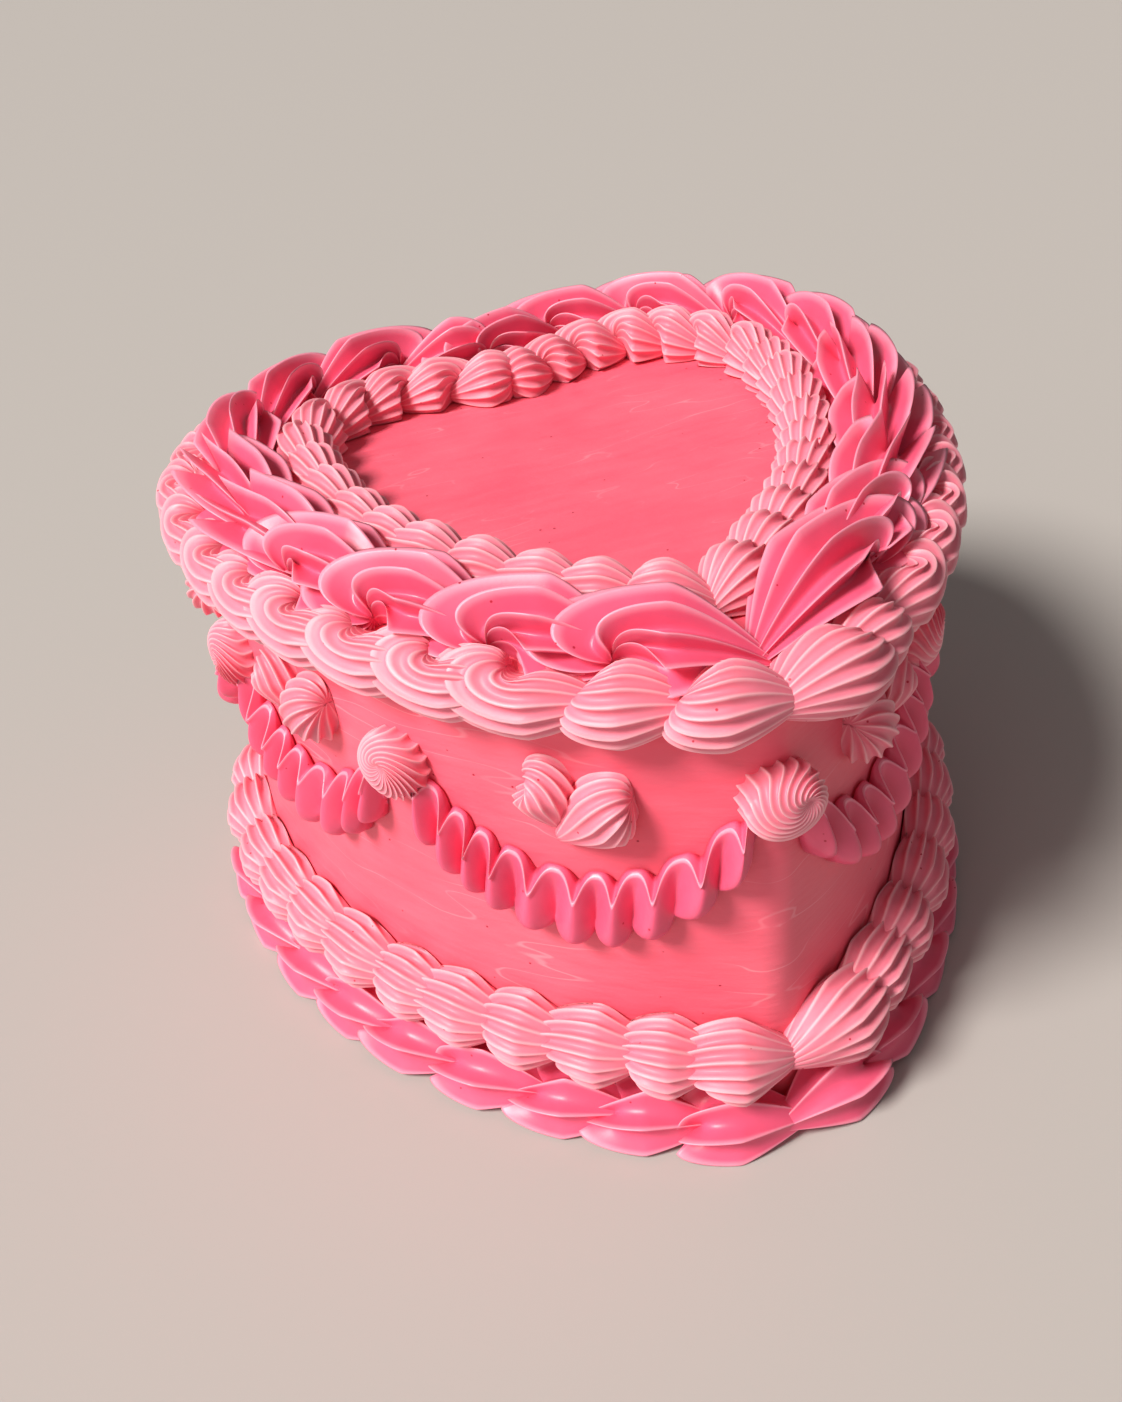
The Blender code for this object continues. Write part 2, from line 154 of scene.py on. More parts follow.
def closed_mesh(name, rings, start, end, material, **attributes):
    """One object from many closed forms.

    rings is forms x levels x round x 3; start and end are the forms' end points. Each form
    is skinned ring by ring and closed to its two end points. Extra attributes have the
    shape of the rings without the last axis and take their end values from the end rings.
    """
    forms, levels, around = rings.shape[:3]
    per_form = levels * around + 2
    verts = np.concatenate([rings.reshape(forms, -1, 3), start[:, None], end[:, None]], 1)
    level, spot = np.meshgrid(np.arange(levels - 1), np.arange(around), indexing="ij")
    following = (spot + 1) % around
    quads = np.stack([level * around + spot, level * around + following,
                      (level + 1) * around + following, (level + 1) * around + spot], -1).reshape(-1, 4)
    ring = np.arange(around)
    onward = (ring + 1) % around
    last = (levels - 1) * around
    first_fan = np.stack([onward, ring, np.full(around, per_form - 2)], -1)
    last_fan = np.stack([last + ring, last + onward, np.full(around, per_form - 1)], -1)
    shift = (np.arange(forms) * per_form)[:, None, None]
    quads = (quads + shift).reshape(-1, 4)
    fans = (np.concatenate([first_fan, last_fan]) + shift).reshape(-1, 3)
    flat = verts.reshape(-1, 3)
    # A form that was skinned inside out encloses a negative volume.
    a, b, c, d = (flat[quads[:, i]] for i in range(4))
    volume = np.einsum("ij,ij->", a, np.cross(b, c)) + np.einsum("ij,ij->", a, np.cross(c, d))
    if volume < 0:
        quads, fans = quads[:, ::-1], fans[:, ::-1]
    mesh = bpy.data.meshes.new(name)
    mesh.from_pydata(flat.tolist(), [], quads.tolist() + fans.tolist())
    mesh.polygons.foreach_set("use_smooth", np.ones(len(mesh.polygons), bool))
    for key, values in attributes.items():
        layer = mesh.attributes.new(key, "FLOAT", "POINT")
        values = np.broadcast_to(values, rings.shape[:3]).reshape(forms, -1)
        ends = np.stack([values[:, 0], values[:, -1]], -1)
        layer.data.foreach_set("value", np.concatenate([values, ends], 1).ravel().astype(np.float32))
    mesh.materials.append(material)
    mesh.update()
    item = bpy.data.objects.new(name, mesh)
    bpy.context.scene.collection.objects.link(item)
    return item


def dress(piece, slot, *nodes):
    """The piece rides on the cake and stands for its CAD nodes; the slot is not used."""
    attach(piece, "root")
    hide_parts(*nodes)


# Finishes

def linear(hexes):
    """sRGB hex to linear RGBA."""
    values = [int(hexes[i:i + 2], 16) / 255 for i in (1, 3, 5)]
    return tuple(v / 12.92 if v <= 0.04045 else ((v + 0.055) / 1.055) ** 2.4 for v in values) + (1.0,)


def repeats(millimetres):
    """Scale of a noise or cell pattern from its real size: how many fit in a metre."""
    return 1000.0 / millimetres


def node(tree, kind, inputs=None, **settings):
    """Adds a shader node with its settings; an input is a value or a socket to link."""
    item = tree.nodes.new("ShaderNode" + kind)
    for key, value in settings.items():
        setattr(item, key, value)
    for key, value in (inputs or {}).items():
        if isinstance(value, bpy.types.NodeSocket):
            tree.links.new(value, item.inputs[key])
        else:
            item.inputs[key].default_value = value
    return item


def buttercream(name, through):
    """What all the icing shares: the gloss of fat, and light that passes through thin edges.

    The share that passes through comes out redder, about 3 mm from where it went in.
    """
    material = bpy.data.materials.new(name)
    material.use_nodes = True
    shader = material.node_tree.nodes["Principled BSDF"]
    shader.inputs["IOR"].default_value = 1.45
    shader.inputs["Subsurface Weight"].default_value = through
    shader.inputs["Subsurface Radius"].default_value = (1.0, 0.35, 0.30)
    shader.inputs["Subsurface Scale"].default_value = 0.003
    return material, material.node_tree, shader


def dye_specks(tree, place, cell):
    """Where specks of undissolved dye lie, 1 inside a speck.

    Every cell, its size in millimetres, holds one speck of 0.25 mm radius that fades out at
    0.375 mm; the surface cuts through few of them.
    """
    cells = node(tree, "TexVoronoi", {"Vector": place, "Scale": repeats(cell)}, feature="F1")
    return node(tree, "MapRange", {"Value": cells.outputs["Distance"], "From Min": 0.25 / cell,
                                   "From Max": 0.375 / cell, "To Min": 1.0, "To Max": 0.0}).outputs[0]


def piped_buttercream(name, shaded_groove, crest, highlight_from, roughness):
    """American buttercream pushed through a star tip.

    Fat and sugar keep the ridges crisp and a little greasy: a satin gloss, light through
    thin edges, painted shade that deepens the colour in the grooves, a painted highlight
    that makes it paler on the crests, and here and there a speck of undissolved dye.
    """
    material, tree, shader = buttercream(name, 0.12)
    place = node(tree, "TexCoord").outputs["Object"]
    ridge = node(tree, "Attribute", attribute_name="ridge").outputs["Fac"]
    # Painted shade and highlight: the colour runs from the darker groove colour to the paler crest colour as
    # the ridge nears its crest.
    edge = node(tree, "MapRange", {"Value": ridge, "From Min": highlight_from, "From Max": 1.0},
                interpolation_type="SMOOTHSTEP").outputs[0]
    colour = node(tree, "Mix", {"Factor": edge, "A": linear(shaded_groove), "B": linear(crest)},
                  data_type="RGBA").outputs[2]
    # Dye and gloss are uneven in soft clouds of 11 mm.
    cloud = node(tree, "TexNoise", {"Vector": place, "Scale": repeats(11.1), "Detail": 3.0}).outputs["Fac"]
    tint = node(tree, "MapRange", {"Value": cloud, "From Min": 0.3, "From Max": 0.7,
                                   "To Min": 0.92, "To Max": 1.06}).outputs[0]
    colour = node(tree, "HueSaturation", {"Color": colour, "Value": tint}).outputs[0]
    speck = dye_specks(tree, place, 6.25)
    colour = node(tree, "Mix", {"Factor": speck, "A": colour, "B": linear("#C01F3C")},
                  data_type="RGBA").outputs[2]
    tree.links.new(colour, shader.inputs["Base Color"])
    # Sugar grain 0.7 mm wide, coarser than real so that it shows, and very low.
    grain = node(tree, "TexNoise", {"Vector": place, "Scale": repeats(0.714), "Detail": 2.0}).outputs["Fac"]
    bump = node(tree, "Bump", {"Height": grain, "Strength": 0.10, "Distance": 0.0002}).outputs[0]
    tree.links.new(bump, shader.inputs["Normal"])
    gloss = node(tree, "MapRange", {"Value": cloud, "From Min": 0.3, "From Max": 0.7,
                                    "To Min": roughness - 0.06, "To Max": roughness + 0.06}).outputs[0]
    tree.links.new(gloss, shader.inputs["Roughness"])
    return material


def smoothed_buttercream(name):
    """Buttercream drawn smooth with a bench scraper.

    Satin and nearly even, with long faint strokes along the wall, hairlines, a few pin
    holes where air was trapped and specks of undissolved dye.
    """
    material, tree, shader = buttercream(name, 0.10)
    place = node(tree, "TexCoord").outputs["Object"]
    way = node(tree, "Attribute", attribute_name="way").outputs["Fac"]
    top = node(tree, "Attribute", attribute_name="top").outputs["Fac"]
    height = node(tree, "SeparateXYZ", {"Vector": place}).outputs[2]
    # The scraper went along the wall and slantwise over the top, so patterns are drawn out
    # that way, about five times as long as they are wide.
    wall = node(tree, "CombineXYZ", {"X": way, "Y": height}).outputs[0]
    wall = node(tree, "Mapping", {"Vector": wall, "Rotation": (0.0, 0.0, 0.10),
                                  "Scale": (1.0, 5.0, 1.0)}).outputs[0]
    flat = node(tree, "Mapping", {"Vector": place, "Rotation": (0.0, 0.0, 0.5),
                                  "Scale": (1.5, 7.0, 1.0)}).outputs[0]
    strokes = node(tree, "Mix", {"Factor": top, "A": wall, "B": flat}, data_type="VECTOR").outputs[1]
    # Strokes 26 mm long and 5 mm wide with finer ones in them, over patches of dye 45 mm wide.
    streak = node(tree, "TexNoise", {"Vector": strokes, "Scale": repeats(26.3), "Detail": 5.0,
                                     "Roughness": 0.6}).outputs["Fac"]
    cloud = node(tree, "TexNoise", {"Vector": place, "Scale": repeats(45.5), "Detail": 3.0}).outputs["Fac"]
    blend = node(tree, "Mix", {"Factor": 0.35, "A": cloud, "B": streak}, data_type="FLOAT").outputs[0]
    share = node(tree, "MapRange", {"Value": blend, "From Min": 0.35, "From Max": 0.65}).outputs[0]
    colour = node(tree, "Mix", {"Factor": share, "A": linear("#EF5971"), "B": linear("#F66C81")},
                  data_type="RGBA").outputs[2]
    # Hairlines some tenths of a millimetre wide and some centimetres long, where a crumb was
    # dragged along: the middle level of a noise 59 mm long, in patches.
    drift = node(tree, "TexNoise", {"Vector": strokes, "Scale": repeats(58.8), "Detail": 1.5}).outputs["Fac"]
    beside = node(tree, "Math", {0: drift, 1: 0.5}, operation="SUBTRACT").outputs[0]
    beside = node(tree, "Math", {0: beside}, operation="ABSOLUTE").outputs[0]
    patch = node(tree, "MapRange", {"Value": cloud, "From Min": 0.48, "From Max": 0.60,
                                    "To Min": 0.0, "To Max": 0.45}).outputs[0]
    hair = node(tree, "MapRange", {"Value": beside, "From Min": 0.002, "From Max": 0.008,
                                   "To Min": patch, "To Max": 0.0}).outputs[0]
    colour = node(tree, "Mix", {"Factor": hair, "A": colour, "B": linear("#FFA4B0")},
                  data_type="RGBA").outputs[2]
    speck = dye_specks(tree, place, 6.67)
    colour = node(tree, "Mix", {"Factor": speck, "A": colour, "B": linear("#B81C38")},
                  data_type="RGBA").outputs[2]
    tree.links.new(colour, shader.inputs["Base Color"])
    low = node(tree, "Bump", {"Height": streak, "Strength": 0.40, "Distance": 0.0011}).outputs[0]
    pit = node(tree, "Bump", {"Height": speck, "Strength": 0.5, "Distance": -0.0004,
                              "Normal": low}).outputs[0]
    tree.links.new(pit, shader.inputs["Normal"])
    gloss = node(tree, "MapRange", {"Value": streak, "From Min": 0.35, "From Max": 0.65,
                                    "To Min": 0.40, "To Max": 0.52}).outputs[0]
    tree.links.new(gloss, shader.inputs["Roughness"])
    return material


# Each finish's first colour is partly the icing's own colour and partly painted shade, for the grooves; the
# second is a paler crest colour, a painted highlight.
HOT = piped_buttercream("hot_pink_piped_buttercream", "#EB5B7E", "#FB95AD", 0.60, 0.37)
SOFT = piped_buttercream("soft_pink_piped_buttercream", "#EE7D92", "#FCB1BC", 0.30, 0.46)
SMOOTH = smoothed_buttercream("smoothed_pink_buttercream")


# The smooth cake

# The wall's waver: the size of each sine, radians per metre along the way and up for both,
# the height from which they are full, and how far the coat stands back for them.
WAVER = 0.00013
WAVES = ((55, 160), (130, -90))
WAVER_FROM = 0.02
COAT_SET = 0.0002
# The place that the top's rings shrink to, and how far the top dips.
TOP_MIDDLE = (0.0, -0.012)
TOP_DIP = 0.00012


def cake_body():
    """Whole outlines stacked up the wall and round the top edge, then drawn in to the middle.

    The wall wavers by a quarter of a millimetre, the sum of two sines of the way round and
    the height, as a hand-held scraper leaves it. The top dips by a product of two sines.
    """
    half_points, wall_levels, edge_levels, top_levels = 181, 45, 8, 49
    way = Way(0.0)
    walk = np.linspace(0.0, way.length, half_points)
    walked = np.r_[walk, walk[-2:0:-1]]
    shares = way.share(walked)
    mirror = np.r_[np.ones(half_points), -np.ones(half_points - 2)]
    turn = np.linspace(0.0, math.pi / 2, edge_levels + 1)[1:]
    heights = np.r_[np.linspace(0.0, CAKE_HEIGHT - TOP_EDGE, wall_levels),
                    CAKE_HEIGHT - TOP_EDGE + TOP_EDGE * np.sin(turn)]
    insets = np.r_[np.zeros(wall_levels), TOP_EDGE * (1 - np.cos(turn))]
    waver = WAVER * sum(np.sin(walked * along + heights[:, None] * up) for along, up in WAVES)
    waver *= np.minimum(heights, WAVER_FROM)[:, None] / WAVER_FROM
    outlines = heart_point((lean(heights) - insets)[:, None] + waver - COAT_SET, shares[None])
    outlines[..., 0] *= mirror
    wall = np.concatenate([outlines, np.broadcast_to(heights[:, None, None], outlines.shape[:2] + (1,))], -1)
    scale = np.linspace(1.0, 0.02, top_levels + 1)[1:, None, None]
    top = TOP_MIDDLE + (outlines[-1] - TOP_MIDDLE) * scale
    dip = TOP_DIP * np.sin(top[..., :1] * 70 + 1.0) * np.sin(top[..., 1:] * 60)
    top = np.concatenate([top, CAKE_HEIGHT + dip * (1 - scale)], -1)
    rings = np.concatenate([wall, top])[None]
    rings[..., 1] += MIDDLE
    # The top's strokes start a little way round its edge.
    wall_rings = wall_levels + 3
    on_top = np.r_[np.zeros(wall_rings), np.ones(len(rings[0]) - wall_rings)][None, :, None]
    start = np.array([[TOP_MIDDLE[0], TOP_MIDDLE[1] + MIDDLE, 0.0]])
    end = np.array([[TOP_MIDDLE[0], TOP_MIDDLE[1] + MIDDLE, rings[0, -1, :, 2].mean()]])
    piece = closed_mesh("smooth_cake", rings, start, end, SMOOTH, way=walked[None, None, :], top=on_top)
    dress(piece, "smoothed_buttercream", "cake_body")


# Piped shells

# At its end a tail has lost these shares of the head's core and ridges.
CORE_LOST = 0.88
RIDGES_LOST = 0.92
# Inside a turn the ridges stop at this share of its radius, and down the tail that limit
# grows by this many times its size.
TURN_KEPT = 0.85
TURN_GROWS = 5
# How a hand pipes a row: the first shell's place from the cleft and a tail's reach, both in
# spacings, and how uneven places (in spacings), sizes (as a share) and heights (in metres) are.
FIRST_PLACE = 0.38
TAIL_REACH = 0.95
UNEVEN_PLACE = 0.05
UNEVEN_SIZE = 0.035
UNEVEN_HEIGHT = 0.0005
# The left half counts its shells from here, so that it isn't uneven like the right half.
LEFT_NUMBERS = 40
# Share of the way where a lobe's row is drawn in the most, and over what share it fades.
PULL_PLACE = 0.42
PULL_BREADTH = 0.17
# Beyond a brink the floor falls by this many times the way gone.
BRINK_FALL = 4.0


def wobble(index, channel):
    """Repeatable unevenness of hand piping, from -1 to 1."""
    return np.sin(37.7 * index + 11.3 * channel + 0.6 * index * channel)


def ridge_section(ridges, samples=7):
    """Angles round a fine star tip's section and how near each is to a ridge's crest.

    A ridge is a thin crest, 1 at its line, that falls to the smooth groove as the square of
    the way between; the samples crowd towards the crest.
    """
    way = np.linspace(-1.0, 1.0, samples, endpoint=False)
    way = np.sign(way) * np.abs(way) ** 1.25
    angle = ((np.arange(ridges)[:, None] + 0.5 * way[None]) * 2 * math.pi / ridges).ravel()
    return angle, np.tile((1.0 - np.abs(way)) ** 2.0, ridges)


def fin_section(fins, samples=14, power=2.1):
    """The same for a deep star tip, whose ridges are thin fins over broad round grooves.

    The fin falls from its crest as a power of the way between, so its edge stays thin and
    its foot runs out into the groove; the crest itself is rounded off a little.
    """
    crest_round = 0.03
    way = np.linspace(-1.0, 1.0, samples, endpoint=False)
    way = np.sign(way) * np.abs(way) ** 1.5
    angle = ((np.arange(fins)[:, None] + 0.5 * way[None]) * 2 * math.pi / fins).ravel()
    fall = 1.0 - (np.sqrt(way ** 2 + crest_round ** 2) - crest_round) / (1.0 - crest_round)
    return angle, np.tile(np.clip(fall, 0.0, 1.0) ** power, fins)


def shell_forms(section, levels, front, back, hook, loop, depth, core_power, ridge_power, tail_power,
                blunt=0.0, beak=0.0, twist=0.0, phase=0.0, drop=0.0, head_share=0.46, roll=1.0):
    """Piped shells in their own axes, as unit forms: x to the tail, y outwards, z up.

    The tip's section travels along a curve that is front long from the eye to the widest
    place and back long from there to the tail's end. While the head swells the curve turns
    by the hook angle in the loop's plane; what is left to turn falls as one minus a quarter
    sine, to the power of the roll, so with a small roll the whole head curls.

    Core and ridges swell as powers of a quarter sine and shrink as powers of the way down
    the tail. Ridges rise above the core by the depth and turn about the curve by the twist,
    from the phase, their angle above outwards. Blunt ridges start with that share of their
    height, and their crests jut back at the head by the beak. On the inner side of the turn
    nothing reaches past the turn's own centre. The tail sinks by the drop as its core
    shrinks. The head takes its share of the levels, which crowd towards the eye. From front
    to drop, every argument is a number or one number for each shell.
    """
    angle, crest = section
    given = np.broadcast_arrays(*np.atleast_1d(front, back, hook, loop, depth, core_power, ridge_power,
                                               tail_power, blunt, beak, twist, phase, drop))
    (front, back, hook, loop, depth, core_power, ridge_power,
     tail_power, blunt, beak, twist, phase, drop) = [value.astype(float)[:, None] for value in given]
    step = np.linspace(0.0, 1.0, levels + 2)[None, 1:-1] ** 1.4
    head = np.clip(step / head_share, 0.0, 1.0) * math.pi / 2
    tail = np.clip((step - head_share) / (1 - head_share), 0.0, 1.0)
    core = np.sin(head) ** core_power * (1 - CORE_LOST * tail ** 1.6)
    ridge = (blunt + (1 - blunt) * np.sin(head) ** ridge_power) * (1 - RIDGES_LOST * tail ** tail_power)
    inner = core * (1 - depth)

    # The curve is summed step by step and shifted so that the widest place is at zero.
    travel = -front * np.cos(head) + back * tail
    bend = hook * (1 - np.sin(head)) ** roll
    run = np.diff(travel, axis=1)
    middle = 0.5 * (bend[:, 1:] + bend[:, :-1])
    ahead = np.pad(np.cumsum(run * np.cos(middle), 1), ((0, 0), (1, 0)))
    aside = np.pad(np.cumsum(run * np.sin(middle), 1), ((0, 0), (1, 0)))
    widest = int(np.argmax(step[0] >= head_share))
    ahead = ahead - ahead[:, widest:widest + 1]
    aside = aside - aside[:, widest:widest + 1]
    axis = np.array([1.0, 0.0, 0.0])
    side = np.stack([np.zeros_like(loop), np.cos(loop), np.sin(loop)], -1)
    square = np.cross(axis, side)
    centre = ahead[..., None] * axis + aside[..., None] * side
    across = np.cos(bend)[..., None] * side - np.sin(bend)[..., None] * axis

    radius = inner[..., None] + (ridge - inner)[..., None] * crest
    spot = angle + (phase - loop + twist * (step - head_share))[..., None]
    over = radius * np.cos(spot)
    # The turn's own radius is the way gone for each radian. It grows without bound as the
    # head's quarter turn ends, so the quarter turn is taken to end just before.
    head_end = 1.569 if roll == 1.0 else 1.45
    turned = np.minimum(head, head_end)
    tight = front * np.tan(turned) * (1 - np.sin(turned)) ** (1 - roll) / (roll * hook)
    tight = (TURN_KEPT * tight * (1 + TURN_GROWS * tail))[..., None]
    over = np.where(over < 0, -tight * (1 - np.exp(np.minimum(over, 0.0) / tight)), over)
    rings = (centre[:, :, None] + over[..., None] * across[:, :, None]
             + (radius * np.sin(spot))[..., None] * square[:, :, None])

    start = rings[:, 0].mean(1)
    onward = np.cos(bend)[..., None] * axis + np.sin(bend)[..., None] * side
    jut = (beak * (1 - np.sin(head)) ** 1.5)[..., None] * crest
    rings -= jut[..., None] * onward[:, :, None]
    rings[..., 2] -= np.where(step > head_share, drop * (1 - core), 0.0)[..., None]
    return rings, start, rings[:, -1].mean(1), np.broadcast_to(crest, radius.shape)


def piped_row(name, row, forms, side, material, slot, cad_node, floor=None, brink=None, inside=None,
              outside=None, pull=0.0, last=1.0):
    """A row of shells down one side of the heart, each set square to the chord to the next.

    The row gives the offset, height, half width, half height and the counts of shells on
    the right and on the left. A point that would go below the floor stops there, as the
    icing does; beyond the brink, an offset, the floor falls away steeply. Inside and outside
    are seams with the neighbour rows, (offset at the cake's top, slope, share kept), past
    which the shells are pressed flat. The pull draws the row in at the lobe, as the hand
    did there. The last shell is longer by its own factor, its tail ending in the same
    place, and a little wider and taller.
    """
    offset, height, across, up, *counts = row
    count = counts[0] if side == RIGHT else counts[1]
    way = Way(offset + float(lean(height)))
    spacing = way.length / count
    index = np.arange(count)
    number = index + (0 if side == RIGHT else LEFT_NUMBERS)
    place = index / (count - 1)
    stretch = np.where(index == count - 1, last, 1.0)
    step = index + FIRST_PLACE + UNEVEN_PLACE * wobble(number, 3) - TAIL_REACH * (stretch - 1.0)
    distance = step * spacing
    here = way.point(distance)
    forward = way.point(np.minimum(distance + spacing, way.length)) - here
    forward /= np.linalg.norm(forward, axis=-1, keepdims=True)
    outward = np.stack([-forward[:, 1], forward[:, 0]], -1)
    drawn_in = pull * np.exp(-((distance / way.length - PULL_PLACE) / PULL_BREADTH) ** 2)
    here = here - drawn_in[:, None] * outward
    size = 1.0 + UNEVEN_SIZE * wobble(number, 1)
    breadth, tallness = size * stretch ** 0.6, size * stretch ** 0.2
    rings, start, end, crest = forms(number, place, side)
    placed = []
    for form in (rings, start, end):
        each = (slice(None),) + (None,) * (form.ndim - 2)
        x = form[..., 0] * spacing * stretch[each]
        y = form[..., 1] * across * breadth[each]
        z = form[..., 2] * up * tallness[each] + height + UNEVEN_HEIGHT * wobble(number, 2)[each]
        if floor is not None:
            beyond = 0.0 if brink is None else np.maximum(y + offset - brink, 0.0)
            z = np.maximum(z, floor - BRINK_FALL * beyond)
        if inside is not None:
            edge = inside[0] + inside[1] * (z - CAKE_HEIGHT) - offset
            y = np.where(y < edge, edge + inside[2] * (y - edge), y)
        if outside is not None:
            edge = outside[0] + outside[1] * (z - CAKE_HEIGHT) - offset
            y = np.where(y > edge, edge + outside[2] * (y - edge), y)
        flat = here[each] + x[..., None] * forward[each] + y[..., None] * outward[each]
        placed.append(np.concatenate([flat * [side, 1.0] + [0.0, MIDDLE], z[..., None]], -1))
    dress(closed_mesh(name, *placed, material, ridge=crest), slot, cad_node)


# A row's shells are made from their numbers, which set how uneven they are, their places,
# from 0 at the cleft to 1 at the point, and the side of the heart.

def base_ruffles(number, place, side):
    """Hot pink shells round the foot: a beaked fin juts over a round face and a foot lip."""
    return shell_forms(fin_section(7, power=2.4), 40, front=0.40, back=0.88,
                       hook=np.radians(12 + 10 * wobble(number, 4)), loop=math.radians(-80), depth=0.34,
                       core_power=0.42, ridge_power=0.38, tail_power=1.2, blunt=0.50, beak=0.30,
                       twist=0.12, phase=0.46 + 0.06 * wobble(number, 6), drop=0.1, head_share=0.38)


def base_shells(number, place, side):
    """Shells against the wall, blunt at the head with small teeth, their ridges like a fan."""
    return shell_forms(ridge_section(18), 32, front=0.46, back=0.86,
                       hook=np.radians(40 + 20 * wobble(number, 5)), loop=math.radians(70), depth=0.18,
                       core_power=0.50, ridge_power=0.44, tail_power=1.15, blunt=0.18, beak=0.08,
                       twist=-0.30, phase=0.2 * wobble(number, 6), drop=0.05)


def top_shells(number, place, side):
    """Shells over the top edge that curl evenly round an eye on their inner, upper side.

    The last two before the point run nearly straight.
    """
    straight = place >= place[-2]
    return shell_forms(ridge_section(17), 38, front=np.where(straight, 0.46, 0.66), back=0.87,
                       hook=np.radians(np.where(straight, 30, 165 + 22 * wobble(number, 4))),
                       loop=math.radians(-62), depth=0.18, core_power=0.50, ridge_power=0.42,
                       tail_power=1.4, twist=0.35, phase=0.3 * wobble(number, 6), drop=0.16, roll=0.62)


# Shares of the way from which the top ruffles before the point curl, up to which those at the
# back do, and up to which the inner shells at the back curl more.
FRONT_CURL_FROM = {RIGHT: 0.82, LEFT: 0.57}
BACK_CURL_TO = {RIGHT: 0.48, LEFT: 0.40}
INNER_CURL_TO = 0.42


def top_ruffles(number, place, side):
    """Big shells from a wide open star: deep fins whose pointed fronts stand free.

    Those before the point curl round an eye on their outer side, those at the back round
    one on their inner side, and those between run straight, their fins like long blades.
    The left half's first, in the cleft, is straight and short.
    """
    front_curl = np.clip((place - FRONT_CURL_FROM[side]) / 0.08, 0.0, 1.0)
    back_curl = np.clip((BACK_CURL_TO[side] - place) / 0.06, 0.0, 1.0)
    curl = np.maximum(front_curl, back_curl)
    first = (place == 0) & (side == LEFT)
    return shell_forms(fin_section(12, 12), 48, front=0.38 + 0.24 * curl - 0.28 * first, back=0.79,
                       hook=np.radians(12 + 156 * curl * ~first + 10 * wobble(number, 4)),
                       loop=np.radians(np.where(front_curl > 0, 160, 20)), depth=0.46, core_power=0.7,
                       ridge_power=0.5, tail_power=2.4 - 1.15 * curl, blunt=0.92 - 0.88 * curl,
                       beak=0.26 - 0.25 * curl, twist=0.20, phase=0.38 + 0.09 * wobble(number, 6), drop=0.42)


def inner_shells(number, place, side):
    """Small shells on the cake's top, their eyes at the inner foot; those at the back curl more."""
    back_curl = (place > 0) & (place < INNER_CURL_TO)
    hook = np.where(place == 0, 10, 50 + 30 * wobble(number, 4)) + 62 * back_curl
    return shell_forms(ridge_section(16), 28, front=0.48 + 0.08 * back_curl, back=0.90,
                       hook=np.radians(hook), loop=math.radians(15), depth=0.18, core_power=0.6,
                       ridge_power=0.45, tail_power=1.5, twist=0.3, phase=0.3 * wobble(number, 6), drop=0.30)


# Offset, height, half width, half height and right and left count of each row's shells.
BASE_RUFFLE = (0.0065, 0.0060, 0.0114, 0.0116, 15, 15)
BASE_SHELL = (0.0036, 0.0262, 0.0118, 0.0122, 17, 18)
TOP_SHELL = (0.0014, CAKE_HEIGHT - 0.0018, 0.0113, 0.0117, 18, 16)
TOP_RUFFLE = (-0.0092, CAKE_HEIGHT + 0.0043, 0.0150, 0.0140, 10, 10)
INNER_SHELL = (-0.0276, CAKE_HEIGHT + 0.0046, 0.0092, 0.0100, 17, 15)


def borders():
    """The five rows, each side on its own.

    The left lobe's top rows are drawn in, and on the right the last shell of three rows,
    at the point, is larger than the rest.
    """
    top = CAKE_HEIGHT + GAP
    for side, label in ((RIGHT, "right"), (LEFT, "left")):
        right, left = side == RIGHT, side == LEFT
        piped_row(f"base_ruffles_{label}", BASE_RUFFLE, base_ruffles, side, HOT, "hot_pink_buttercream",
                  "base_ruffle_border", floor=0.0, inside=(GAP, 0.0, 0.0))
        piped_row(f"base_shells_{label}", BASE_SHELL, base_shells, side, SOFT, "soft_pink_buttercream",
                  "base_shell_border", inside=(GAP, 0.0, 0.0), last=1.0 + 0.2 * right)
        piped_row(f"top_shells_{label}", TOP_SHELL, top_shells, side, SOFT, "soft_pink_buttercream",
                  "top_shell_border", inside=(-0.0060, 0.70, 0.15), pull=0.0012 * left,
                  last=1.0 + 0.3 * right)
        piped_row(f"top_ruffles_{label}", TOP_RUFFLE, top_ruffles, side, HOT, "hot_pink_buttercream",
                  "top_ruffle_border", floor=top, brink=-0.007, pull=0.0028 * left,
                  last=1.0 + 0.25 * right)
        piped_row(f"inner_shells_{label}", INNER_SHELL, inner_shells, side, SOFT, "soft_pink_buttercream",
                  "inner_shell_border", floor=top, outside=(-0.0186, -0.20, 0.0), pull=0.0035 * left)


# Side decoration

ROSETTE_HEIGHT = 0.1022
POINT_ROSETTE_HEIGHT = 0.1065
WALL_WAY = Way(float(lean(ROSETTE_HEIGHT)))

# Rosettes: shares of the way from cleft to point, heights, and how far each reaches back to
# meet the wall. The eye is off the middle and the ridges wind in to it by the swirl, in
# radians.
RIGHT_ROSETTES = (0.0, 0.250, 0.500, 0.750, 1.0)
LEFT_ROSETTES = (0.0, 0.240, 0.475, 0.705, 1.0)
ROSETTE_HEIGHTS = (ROSETTE_HEIGHT,) * 4 + (POINT_ROSETTE_HEIGHT,)
ROSETTE_SKIRTS = (0.001, 0.0016, 0.0016, 0.0016, 0.0055)
ROSETTE_RADIUS = 0.0100
ROSETTE_RIDGE = 0.0013
EYE_AWAY = 0.0036
SWIRL = 2.6

# Swags: height of the hanging line at its ends and lowest place, how far the ribbon stays
# from the rosettes' middles, a fold's length, over what length the folds die away, and the
# stations to a fold.
SWAG_END = 0.0970
SWAG_MIDDLE = 0.0768
FRONT_SWAG_MIDDLE = 0.0727
SWAG_GAP = 0.0042
FOLD = 0.0085
FADE = 0.0035
STATIONS = 26
